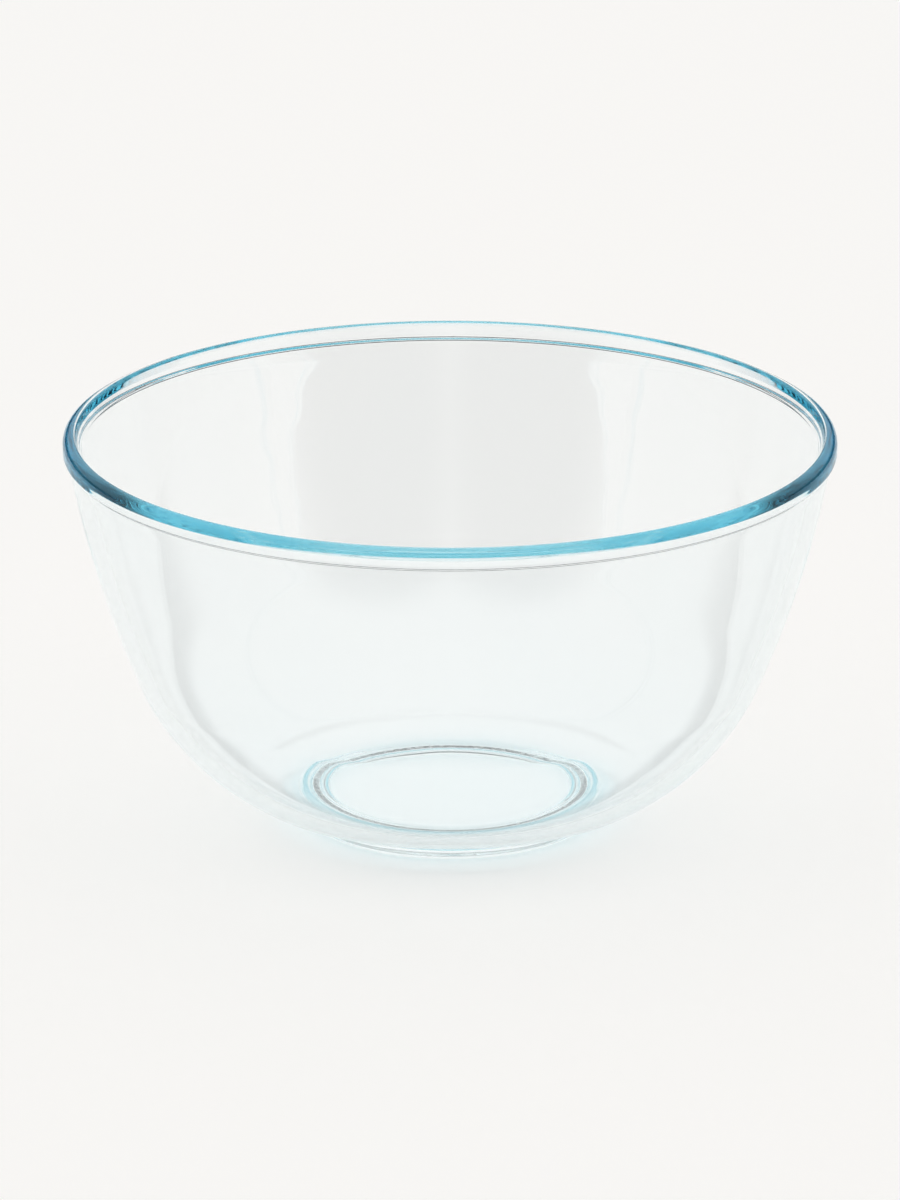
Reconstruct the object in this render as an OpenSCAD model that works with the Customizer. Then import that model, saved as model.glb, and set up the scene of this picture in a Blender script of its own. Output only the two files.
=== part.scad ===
// A clear glass mixing bowl, pressed in one piece: a rounded rim bead with a flared inner lip, a
// wall that curves in ever more tightly towards the base, and a low foot ring around a recessed
// underside.
// Millimetres. +Z is up. The origin is the centre of the circle that the bowl stands on.

/* [Size] */
// Outer diameter over the rim bead
rim_d = 240; // [225:1:250]
// Height from the table to the top of the rim
height = 125; // [118:1:135]

/* [Rim] */
// Height of the upright band around the outside of the rim
rim_band_h = 2; // [1.5:0.1:3]
// Radius of the two bends that carry the band into the wall
rim_blend_r = 1.5; // [1:0.1:2]
// Angle from upright at which those two bends meet
rim_blend_lean = 66; // [50:1:75]
// Radius of the rounded edge, from the band to the top of the rim
rim_edge_r = 3; // [2.7:0.1:3.2]
// Radius of the edge from the top of the rim into the inner lip
lip_edge_r = 1.2; // [0.8:0.1:1.5]
// Angle of the flared inner lip from upright
lip_lean = 25; // [23:1:32]
// Radius of the bend between the lip and the inside of the wall
lip_ease_r = 2; // [1:0.5:5]

/* [Wall] */
// Thickness of the glass in the wall
wall_t = 4.6; // [3.7:0.1:5]
// Angle of the wall from upright, just under the rim
rim_lean = 10; // [8:0.5:12]
// Angle of the wall from upright, where the upper curve meets the lower one
shoulder_lean = 22.5; // [20:0.5:26]
// Angle of the wall from upright, where the lower curve meets the heel
heel_lean = 58.5; // [56:0.5:62]
// Radius of the heel
heel_r = 25; // [20:1:30]
// Angle of the underside from upright, between the heel and the foot
base_lean = 72; // [68:1:75]
// Length of the straight cone between the heel and the foot
base_cone_l = 15; // [12:0.5:18]
// Height of the flat inner floor above the table
floor_h = 9.5; // [8:0.1:11]

/* [Foot] */
// Outer diameter of the flat face that the bowl stands on
foot_d = 87.8; // [80:0.2:96]
// Width of that flat face
foot_face_w = 2; // [1.5:0.1:3]
// Radius of the foot's lower edges
foot_edge_r = 1.2; // [0.8:0.1:1.6]
// Radius of the fillets between the foot and the base
foot_fillet_r = 3; // [2:0.1:3.5]
// Angle of the foot's sides from upright
foot_lean = 20; // [16:1:30]
// Length of the straight part of the foot's outer side
foot_side_l = 2.2; // [1.5:0.1:3]
// Height of the recessed underside above the table
recess_h = 3.2; // [3:0.1:4]

/* [Smoothness] */
// Largest gap between a bend and its straight steps
bend_gap = 0.03; // [0.01:0.01:0.1]
// Largest angle of one step, in degrees
bend_step = 12; // [4:1:15]

/* [Hidden] */
$fn = 180;

// The outline is walked from the axis along the underside, up the outside, over the rim and down
// the inside to the axis again. A heading is the walk's angle from straight up, clockwise: 90 is
// outwards, 0 up, -90 inwards and -180 down. A bend's radius is positive where the walk turns
// anticlockwise, towards the inside of the glass, and negative where it turns the other way.

// How far a bend of radius 1, and a straight run of length 1, carry the walk: [outwards, upwards]
function bend_way(from, to) = [cos(to) - cos(from), sin(from) - sin(to)];
function run_way(heading) = [sin(heading), cos(heading)];

// The points of a bend that starts at p, without p itself
function bend(p, r, from, to) =
    let (step = min(bend_step, 2 * acos(1 - bend_gap / abs(r))))
    let (steps = ceil(abs(to - from) / step))
    [for (i = [1 : steps]) p + r * bend_way(from, from + (to - from) * i / steps)];

// The end of a straight run from p
function run(p, length, heading) = p + length * run_way(heading);

// How much of way a and how much of way b together make up a travel
function shares(a, b, travel) =
    [cross(travel, b), cross(a, travel)] / cross(a, b);

function last(points) = points[len(points) - 1];

// Underside: the recess, the inner side of the foot, and its flat face
inner_side_heading = 180 - foot_lean;
recess_fillet_way = -foot_fillet_r * bend_way(90, inner_side_heading);
inner_edge_way = foot_edge_r * bend_way(inner_side_heading, 90);
inner_side_l = (recess_h + recess_fillet_way[1] + inner_edge_way[1]) / cos(foot_lean);
face_inner_r = foot_d / 2 - foot_face_w;
recess_r = face_inner_r - inner_edge_way[0] - inner_side_l * sin(foot_lean) - recess_fillet_way[0];

recess_edge = [recess_r, recess_h];
recess_fillet = bend(recess_edge, -foot_fillet_r, 90, inner_side_heading);
foot_inner_side = run(last(recess_fillet), inner_side_l, inner_side_heading);
foot_inner_edge = bend(foot_inner_side, foot_edge_r, inner_side_heading, 90);
foot_face = [foot_d / 2, 0];

// Outer side of the foot, its fillet, the cone of the base and the heel
foot_outer_edge = bend(foot_face, foot_edge_r, 90, foot_lean);
foot_outer_side = run(last(foot_outer_edge), foot_side_l, foot_lean);
foot_fillet = bend(foot_outer_side, -foot_fillet_r, foot_lean, base_lean);
base_cone = run(last(foot_fillet), base_cone_l, base_lean);
heel = bend(base_cone, heel_r, base_lean, heel_lean);

// Two small bends step the wall outwards to the upright band
band_top = [rim_d / 2, height - rim_edge_r];
blend_way = rim_blend_r * (bend_way(rim_blend_lean, 0) - bend_way(rim_lean, rim_blend_lean));
wall_top = band_top - [0, rim_band_h] - blend_way;

// The lower and upper curves of the wall take the two radii that carry it from heel to rim
lower_way = bend_way(heel_lean, shoulder_lean);
upper_way = bend_way(shoulder_lean, rim_lean);
curve_radii = shares(lower_way, upper_way, wall_top - last(heel));
lower_r = curve_radii[0];
upper_r = curve_radii[1];
lower_curve = bend(last(heel), lower_r, heel_lean, shoulder_lean);
upper_curve = bend(last(lower_curve), upper_r, shoulder_lean, rim_lean);
blend_out = bend(last(upper_curve), -rim_blend_r, rim_lean, rim_blend_lean);
blend_in = bend(last(blend_out), rim_blend_r, rim_blend_lean, 0);

// Over the rim, then down the flared lip, which ends where its line meets the inside of the wall
rim_edge = bend(band_top, rim_edge_r, 0, -90);
lip_edge = bend(last(rim_edge), lip_edge_r, -90, lip_lean - 180);
inner_wall_top = wall_top - wall_t * [cos(rim_lean), -sin(rim_lean)];
lip_ease_way = lip_ease_r * bend_way(lip_lean - 180, rim_lean - 180);
lip_travel = inner_wall_top - last(lip_edge) - lip_ease_way;
lip_l = shares(run_way(lip_lean - 180), run_way(rim_lean - 180), lip_travel)[0];
lip = run(last(lip_edge), lip_l, lip_lean - 180);
lip_ease = bend(lip, lip_ease_r, lip_lean - 180, rim_lean - 180);

// The inside keeps the wall's thickness, and ends in a wider bend that meets the flat floor
inner_upper = bend(inner_wall_top, wall_t - upper_r, rim_lean - 180, shoulder_lean - 180);
inner_lower = bend(last(inner_upper), wall_t - lower_r, shoulder_lean - 180, heel_lean - 180);
inner_heel_r = (last(inner_lower)[1] - floor_h) / bend_way(heel_lean - 180, -90)[1];
inner_heel = bend(last(inner_lower), -inner_heel_r, heel_lean - 180, -90);

outline = concat(
    [[0, recess_h], recess_edge], recess_fillet,
    [foot_inner_side], foot_inner_edge,
    [foot_face], foot_outer_edge, [foot_outer_side], foot_fillet,
    [base_cone], heel, lower_curve, upper_curve, blend_out, blend_in,
    [band_top], rim_edge, lip_edge, [lip], lip_ease,
    [inner_wall_top], inner_upper, inner_lower, inner_heel,
    [[0, floor_h]]);

module bowl() {
    color([0.80, 0.92, 0.96, 0.45])
        rotate_extrude()
            polygon(outline);
}

bowl();
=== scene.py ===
import math

import bpy
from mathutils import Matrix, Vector


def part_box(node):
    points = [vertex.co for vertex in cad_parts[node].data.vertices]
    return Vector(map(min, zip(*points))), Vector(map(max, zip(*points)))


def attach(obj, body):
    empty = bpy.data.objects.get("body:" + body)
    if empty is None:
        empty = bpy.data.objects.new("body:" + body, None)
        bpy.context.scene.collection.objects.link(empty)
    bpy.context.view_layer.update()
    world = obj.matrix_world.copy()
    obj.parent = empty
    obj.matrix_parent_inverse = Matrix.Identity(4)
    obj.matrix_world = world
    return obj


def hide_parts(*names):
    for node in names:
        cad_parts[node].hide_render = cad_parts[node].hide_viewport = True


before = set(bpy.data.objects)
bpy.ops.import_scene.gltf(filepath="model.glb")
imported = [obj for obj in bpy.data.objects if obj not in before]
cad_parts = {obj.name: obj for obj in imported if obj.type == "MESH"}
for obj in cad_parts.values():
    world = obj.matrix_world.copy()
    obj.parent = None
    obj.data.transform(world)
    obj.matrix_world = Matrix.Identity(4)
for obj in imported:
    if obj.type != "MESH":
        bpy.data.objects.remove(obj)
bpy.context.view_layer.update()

# A clear glass mixing bowl on a plain pale floor. Lengths are in metres, in the CAD frame.
MM = 0.001


# ---------------------------------------------------------------- the bowl's outline
# The outline is walked as in the CAD model: from the axis along the underside, up the outside,
# over the rim and down the inside to the axis again. A heading is the walk's angle from straight
# up, clockwise, in degrees: 90 is outwards, 0 up, -90 inwards and -180 down. A bend's radius is
# positive where the walk turns anticlockwise, and negative where it turns the other way.

RIM_BAND_H = 2 * MM          # upright band around the outside of the rim
RIM_BLEND_R = 1.5 * MM       # the two bends that carry the band into the wall
RIM_BLEND_LEAN = 66          # and the angle from upright at which those two bends meet
EDGE_R = 3 * MM              # the rounded edge, from the band to the top of the rim
LIP_R = 1.2 * MM             # and from the top into the flared lip on the inside
LIP_LEAN = 25                # the lip's angle from upright
LIP_EASE_R = 2 * MM          # the bend between the lip and the inside of the wall
WALL_T = 4.6 * MM
RIM_LEAN = 10                # the wall's angle from upright: under the rim,
SHOULDER_LEAN = 22.5         # between its two curves,
HEEL_LEAN = 58.5             # where the heel starts,
BASE_LEAN = 72               # and under the base
HEEL_R = 25 * MM
BASE_CONE_L = 15 * MM
FLOOR_H = 9.5 * MM
FOOT_R = 43.9 * MM           # outer edge of the flat face that the bowl stands on
FOOT_FACE_W = 2 * MM
FOOT_EDGE_R = 1.2 * MM
FOOT_FILLET_R = 3 * MM
FOOT_LEAN = 20
FOOT_SIDE_L = 2.2 * MM
RECESS_H = 3.2 * MM

BEND_GAP = 0.004 * MM        # how far a bend may stand off its straight steps
BEND_STEP = 6                # and the largest turn in one step, in degrees
SECTORS = 360                # steps around the axis


def bend_way(start, end):
    """How far a bend of radius 1 carries the walk outwards and upwards."""
    a, b = math.radians(start), math.radians(end)
    return Vector((math.cos(b) - math.cos(a), math.sin(a) - math.sin(b)))


def run_way(heading):
    """The direction of a straight run."""
    return Vector((math.sin(math.radians(heading)), math.cos(math.radians(heading))))


class Walk:
    """The outline so far, as points (distance from the axis, height)."""

    def __init__(self, point, heading):
        self.points = [Vector(point)]
        self.heading = heading

    @property
    def end(self):
        return self.points[-1]

    def to(self, point, steps=1):
        start = self.end
        self.points += [start.lerp(Vector(point), i / steps) for i in range(1, steps + 1)]

    def run(self, length, steps=1):
        self.to(self.end + run_way(self.heading) * length, steps)

    def bend(self, radius, heading):
        step = min(BEND_STEP, 2 * math.degrees(math.acos(1 - BEND_GAP / abs(radius))))
        steps = math.ceil(abs(heading - self.heading) / step)
        start, first = self.end, self.heading
        for i in range(1, steps + 1):
            reached = first + (heading - first) * i / steps
            self.points.append(start + radius * bend_way(first, reached))
        self.heading = heading


def two_shares(way_a, way_b, travel):
    """How much of each of two ways together makes a travel."""
    det = way_a.x * way_b.y - way_b.x * way_a.y
    return (
        (travel.x * way_b.y - travel.y * way_b.x) / det,
        (travel.y * way_a.x - travel.x * way_a.y) / det,
    )


def bowl_outline(rim_r, height):
    """The bowl's half section, from the axis on the underside round to the axis on the inside."""
    side_heading = 180 - FOOT_LEAN
    inner_side = (
        RECESS_H + FOOT_FILLET_R * bend_way(side_heading, 90).y
        - FOOT_EDGE_R * bend_way(90, FOOT_LEAN).y
    ) / math.cos(math.radians(FOOT_LEAN))
    recess_r = (
        FOOT_R - FOOT_FACE_W
        - FOOT_EDGE_R * bend_way(side_heading, 90).x
        - inner_side * math.sin(math.radians(FOOT_LEAN))
        + FOOT_FILLET_R * bend_way(90, side_heading).x
    )
    walk = Walk((0, RECESS_H), 90)
    walk.to((recess_r, RECESS_H), steps=12)
    walk.bend(-FOOT_FILLET_R, side_heading)
    walk.run(inner_side)
    walk.bend(FOOT_EDGE_R, 90)
    walk.run(FOOT_FACE_W, steps=2)
    walk.bend(FOOT_EDGE_R, FOOT_LEAN)
    walk.run(FOOT_SIDE_L, steps=2)
    walk.bend(-FOOT_FILLET_R, BASE_LEAN)
    walk.run(BASE_CONE_L, steps=6)
    walk.bend(HEEL_R, HEEL_LEAN)

    step_in = RIM_BLEND_R * (bend_way(RIM_BLEND_LEAN, 0) - bend_way(RIM_LEAN, RIM_BLEND_LEAN))
    band_top = Vector((rim_r, height - EDGE_R))
    wall_top = band_top - Vector((0, RIM_BAND_H)) - step_in
    lower_r, upper_r = two_shares(
        bend_way(HEEL_LEAN, SHOULDER_LEAN), bend_way(SHOULDER_LEAN, RIM_LEAN), wall_top - walk.end
    )
    walk.bend(lower_r, SHOULDER_LEAN)
    walk.bend(upper_r, RIM_LEAN)
    walk.bend(-RIM_BLEND_R, RIM_BLEND_LEAN)
    walk.bend(RIM_BLEND_R, 0)
    walk.to(band_top, steps=4)
    walk.bend(EDGE_R, -90)
    walk.bend(LIP_R, LIP_LEAN - 180)

    lean = math.radians(RIM_LEAN)
    inner_top = wall_top - WALL_T * Vector((math.cos(lean), -math.sin(lean)))
    ease = LIP_EASE_R * bend_way(LIP_LEAN - 180, RIM_LEAN - 180)
    lip_l, _ = two_shares(run_way(LIP_LEAN - 180), run_way(RIM_LEAN - 180), inner_top - walk.end - ease)
    walk.run(lip_l, steps=4)
    walk.bend(LIP_EASE_R, RIM_LEAN - 180)
    walk.to(inner_top, steps=4)
    walk.bend(WALL_T - upper_r, SHOULDER_LEAN - 180)
    walk.bend(WALL_T - lower_r, HEEL_LEAN - 180)
    inner_heel_r = (walk.end.y - FLOOR_H) / bend_way(HEEL_LEAN - 180, -90).y
    walk.bend(-inner_heel_r, -90)
    walk.to((0, FLOOR_H), steps=12)
    return walk.points


def turned(name, outline):
    """A closed mesh made by turning an outline round Z. Its first and last points are on the axis."""
    rings = outline[1:-1]
    verts = [(0, 0, outline[0].y)]
    for point in rings:
        for i in range(SECTORS):
            turn = math.tau * i / SECTORS
            verts.append((point.x * math.cos(turn), point.x * math.sin(turn), point.y))
    verts.append((0, 0, outline[-1].y))

    def at(ring, i):
        return 1 + ring * SECTORS + i % SECTORS

    faces = [(0, at(0, i + 1), at(0, i)) for i in range(SECTORS)]
    for ring in range(len(rings) - 1):
        for i in range(SECTORS):
            faces.append((at(ring, i), at(ring, i + 1), at(ring + 1, i + 1), at(ring + 1, i)))
    top = len(rings) - 1
    faces += [(at(top, i), at(top, i + 1), len(verts) - 1) for i in range(SECTORS)]
    mesh = bpy.data.meshes.new(name)
    mesh.from_pydata(verts, [], faces)
    mesh.polygons.foreach_set("use_smooth", [True] * len(faces))
    mesh.validate()
    mesh.update()
    piece = bpy.data.objects.new(name, mesh)
    bpy.context.scene.collection.objects.link(piece)
    return piece


# ---------------------------------------------------------------- materials
# Light fades on its way through the glass, each colour at the density times what the depth colour
# lacks of 1: a rate per metre of 3.4 for red, 0.85 for green and 0.37 for blue. These rates are
# chosen for the look, and aren't measured on glass.
GLASS_IOR = 1.5
GLASS_DEPTH_COLOUR = (0.0, 0.75, 0.89, 1.0)
GLASS_DENSITY = 3.4
GLASS_TINT = (0.985, 0.995, 1.0, 1.0)    # the colour's trace of change, at its strongest
WHITE = (1.0, 1.0, 1.0, 1.0)

WAVE_H = 0.05 * MM           # height of the mould's slow waves
GRAIN_H = 0.01 * MM          # and of the fine wear on the foot
WEAR_TOP = 0.6 * MM          # the wear starts at this height above the table,
WEAR_FULL = 0.1 * MM         # and is at its full strength from here down
WEAR_MILD = 0.05             # the roughness of its mildest patches,
WEAR_HARD = 0.35             # and of its most worn ones,
PATCH_START = 0.35           # and the noise values between which one turns into the other
PATCH_END = 0.70
TINT_SCALE = 14              # how fine each noise is: the higher, the smaller its patches
WAVE_SCALE = 38
PATCH_SCALE = 420
GRAIN_SCALE = 1500

FLOOR_COLOUR = (0.90, 0.897, 0.894, 1.0)
FLOOR_GLOW_COLOUR = (1.0, 0.99, 0.975, 1.0)
FLOOR_GLOW = 0.10


def new_material(name):
    material = bpy.data.materials.new(name)
    material.use_nodes = True
    material.node_tree.nodes.clear()
    return material, material.node_tree.nodes, material.node_tree.links


def ramp(nodes, links, source, start, end, low, high):
    """Goes smoothly from low to high while its source goes from start to end."""
    step = nodes.new("ShaderNodeMapRange")
    step.interpolation_type = "SMOOTHSTEP"
    step.inputs["From Min"].default_value = start
    step.inputs["From Max"].default_value = end
    step.inputs["To Min"].default_value = low
    step.inputs["To Max"].default_value = high
    links.new(source, step.inputs["Value"])
    return step.outputs["Result"]


def noise(nodes, links, source, scale, detail):
    texture = nodes.new("ShaderNodeTexNoise")
    texture.inputs["Scale"].default_value = scale
    texture.inputs["Detail"].default_value = detail
    links.new(source, texture.inputs["Vector"])
    return texture.outputs["Fac"]


def product(nodes, links, a, b):
    both = nodes.new("ShaderNodeMath")
    both.operation = "MULTIPLY"
    links.new(a, both.inputs[0])
    links.new(b, both.inputs[1])
    return both.outputs["Value"]


def colour_mix(nodes, links, factor, start, end):
    """Goes from the start colour to the end colour while the factor goes from 0 to 1."""
    mix = nodes.new("ShaderNodeMix")
    mix.data_type = "RGBA"
    start_socket, end_socket, result = mix.inputs[6], mix.inputs[7], mix.outputs[2]
    start_socket.default_value = start
    end_socket.default_value = end
    links.new(factor, mix.inputs["Factor"])
    return result


def glass_material():
    """Pressed glass: clear and faintly blue in depth, a little wavy, and scuffed where it stands."""
    material, nodes, links = new_material("bowl_glass")
    out = nodes.new("ShaderNodeOutputMaterial")
    glass = nodes.new("ShaderNodeBsdfPrincipled")
    glass.inputs["IOR"].default_value = GLASS_IOR
    glass.inputs["Transmission Weight"].default_value = 1.0
    links.new(glass.outputs["BSDF"], out.inputs["Surface"])
    absorb = nodes.new("ShaderNodeVolumeAbsorption")
    absorb.inputs["Color"].default_value = GLASS_DEPTH_COLOUR
    absorb.inputs["Density"].default_value = GLASS_DENSITY
    links.new(absorb.outputs["Volume"], out.inputs["Volume"])

    place = nodes.new("ShaderNodeTexCoord").outputs["Object"]
    split = nodes.new("ShaderNodeSeparateXYZ")
    links.new(place, split.inputs["Vector"])

    # The foot's standing face is worn dull in patches. The rest keeps its mould polish.
    on_foot = ramp(nodes, links, split.outputs["Z"], WEAR_TOP, WEAR_FULL, 0.0, 1.0)
    patches = noise(nodes, links, place, PATCH_SCALE, detail=4)
    worn = ramp(nodes, links, patches, PATCH_START, PATCH_END, WEAR_MILD, WEAR_HARD)
    links.new(product(nodes, links, on_foot, worn), glass.inputs["Roughness"])

    # The colour varies by a trace from one side of the bowl to the other.
    cloud = noise(nodes, links, place, TINT_SCALE, detail=2)
    tint = colour_mix(nodes, links, cloud, WHITE, GLASS_TINT)
    links.new(tint, glass.inputs["Base Color"])

    # Slow waves from the mould, and fine wear on the foot.
    waves = nodes.new("ShaderNodeBump")
    waves.inputs["Distance"].default_value = WAVE_H
    waves.inputs["Strength"].default_value = 1.0
    links.new(noise(nodes, links, place, WAVE_SCALE, detail=1), waves.inputs["Height"])
    wear = nodes.new("ShaderNodeBump")
    wear.inputs["Distance"].default_value = GRAIN_H
    grain = noise(nodes, links, place, GRAIN_SCALE, detail=2)
    links.new(product(nodes, links, on_foot, grain), wear.inputs["Height"])
    links.new(waves.outputs["Normal"], wear.inputs["Normal"])
    links.new(wear.outputs["Normal"], glass.inputs["Normal"])
    return material


def floor_material():
    """A white table lit a little from below, as a translucent product table is."""
    material, nodes, links = new_material("floor_pale")
    out = nodes.new("ShaderNodeOutputMaterial")
    sheet = nodes.new("ShaderNodeBsdfDiffuse")
    sheet.inputs["Color"].default_value = FLOOR_COLOUR
    glow = nodes.new("ShaderNodeEmission")
    glow.inputs["Color"].default_value = FLOOR_GLOW_COLOUR
    glow.inputs["Strength"].default_value = FLOOR_GLOW
    both = nodes.new("ShaderNodeAddShader")
    links.new(sheet.outputs["BSDF"], both.inputs[0])
    links.new(glow.outputs["Emission"], both.inputs[1])
    links.new(both.outputs["Shader"], out.inputs["Surface"])
    return material


# ---------------------------------------------------------------- the object
bowl_low, bowl_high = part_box("bowl")
bowl = turned("mixing_bowl", bowl_outline(bowl_high.x, bowl_high.z))
bowl.data.materials.append(glass_material())
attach(bowl, "root")
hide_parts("bowl")


# ---------------------------------------------------------------- floor, light and camera
FLOOR_HALF = 30              # half the floor's width, far more than the camera sees


def add_floor():
    half = FLOOR_HALF
    corners = [(-half, -half, 0), (half, -half, 0), (half, half, 0), (-half, half, 0)]
    mesh = bpy.data.meshes.new("floor")
    mesh.from_pydata(corners, [], [(0, 1, 2, 3)])
    floor = bpy.data.objects.new("floor", mesh)
    floor.location.z = bowl_low.z
    floor.data.materials.append(floor_material())
    bpy.context.scene.collection.objects.link(floor)


STUDIO_BRIGHT = (0.695, 0.690, 0.680, 1.0)
STUDIO_DARK = (0.006, 0.010, 0.016, 1.0)
DARK_AZIMUTH = 25            # degrees from the front (-Y) to each of the two dark corners,
DARK_ELEVATION = 10          # degrees above the horizon to their middles,
DARK_CORE = 12               # and degrees from the middle where a corner starts to fade
DARK_EDGE = 40               # and where it has gone

# The dark strip low along the back. A direction of length 1 darkens as its height falls from the first
# value to the second, and as its reach backwards (+Y) grows from the third to the fourth.
STRIP_TOP = 0.24
STRIP_CORE = 0.10
STRIP_SIDE = 0.25
STRIP_BACK = 0.60
STRIP_DARKNESS = 0.9


def light_world():
    """A white studio, with two soft dark corners low in front and a dark strip along the back."""
    world = bpy.data.worlds.new("studio")
    bpy.context.scene.world = world
    world.use_nodes = True
    nodes, links = world.node_tree.nodes, world.node_tree.links
    way = nodes.new("ShaderNodeTexCoord")
    parts = nodes.new("ShaderNodeSeparateXYZ")
    links.new(way.outputs["Generated"], parts.inputs["Vector"])

    # The two dark corners mirror each other, so one is made, for directions with their X made positive.
    aside = nodes.new("ShaderNodeMath")
    aside.operation = "ABSOLUTE"
    links.new(parts.outputs["X"], aside.inputs[0])
    one_side = nodes.new("ShaderNodeCombineXYZ")
    links.new(aside.outputs["Value"], one_side.inputs["X"])
    links.new(parts.outputs["Y"], one_side.inputs["Y"])
    links.new(parts.outputs["Z"], one_side.inputs["Z"])
    turn, lift = math.radians(DARK_AZIMUTH), math.radians(DARK_ELEVATION)
    middle = (math.cos(lift) * math.sin(turn), -math.cos(lift) * math.cos(turn), math.sin(lift))
    nearness = nodes.new("ShaderNodeVectorMath")
    nearness.operation = "DOT_PRODUCT"
    nearness.inputs[1].default_value = middle
    links.new(one_side.outputs["Vector"], nearness.inputs[0])
    edge, core = math.cos(math.radians(DARK_EDGE)), math.cos(math.radians(DARK_CORE))
    corners = ramp(nodes, links, nearness.outputs["Value"], edge, core, 0.0, 1.0)

    near_horizon = ramp(nodes, links, parts.outputs["Z"], STRIP_TOP, STRIP_CORE, 0.0, STRIP_DARKNESS)
    behind = ramp(nodes, links, parts.outputs["Y"], STRIP_SIDE, STRIP_BACK, 0.0, 1.0)
    dark = nodes.new("ShaderNodeMath")
    dark.operation = "MAXIMUM"
    links.new(corners, dark.inputs[0])
    links.new(product(nodes, links, near_horizon, behind), dark.inputs[1])
    sky = colour_mix(nodes, links, dark.outputs["Value"], STUDIO_BRIGHT, STUDIO_DARK)
    links.new(sky, nodes["Background"].inputs["Color"])


CAMERA_ELEVATION = 18.63     # degrees above level
CAMERA_DISTANCE = 3.0
TARGET_H = 0.060             # height above the table of the point that the camera is set from
VIEW_H = 0.3743              # how much of the scene the picture's height takes in, at the target
TARGET_DROP = 0.0091         # how far under the picture's middle that target lies, at its distance
SENSOR_MM = 36               # lies along the picture's longer side, its height


def add_camera():
    camera = bpy.data.cameras.new("camera")
    camera.sensor_width = SENSOR_MM
    camera.lens = SENSOR_MM * CAMERA_DISTANCE / VIEW_H
    camera.shift_y = TARGET_DROP / VIEW_H
    camera.clip_end = 100
    eye = bpy.data.objects.new("camera", camera)
    tilt = math.radians(CAMERA_ELEVATION)
    away, up = CAMERA_DISTANCE * math.cos(tilt), CAMERA_DISTANCE * math.sin(tilt)
    eye.location = (0, -away, TARGET_H + up)
    eye.rotation_euler = (math.pi / 2 - tilt, 0, 0)
    bpy.context.scene.collection.objects.link(eye)
    bpy.context.scene.camera = eye


add_floor()
light_world()
add_camera()

# Light that the glass guides down inside the wall turns back very many times on its way.
GLASS_BOUNCES = 256
FLOOR_BOUNCES = 8

scene = bpy.context.scene
scene.view_settings.view_transform = "Standard"
scene.view_settings.look = "High Contrast"
scene.cycles.max_bounces = GLASS_BOUNCES
scene.cycles.transmission_bounces = GLASS_BOUNCES
scene.cycles.glossy_bounces = GLASS_BOUNCES
scene.cycles.diffuse_bounces = FLOOR_BOUNCES
scene.cycles.blur_glossy = 0.0
scene.cycles.use_denoising = True
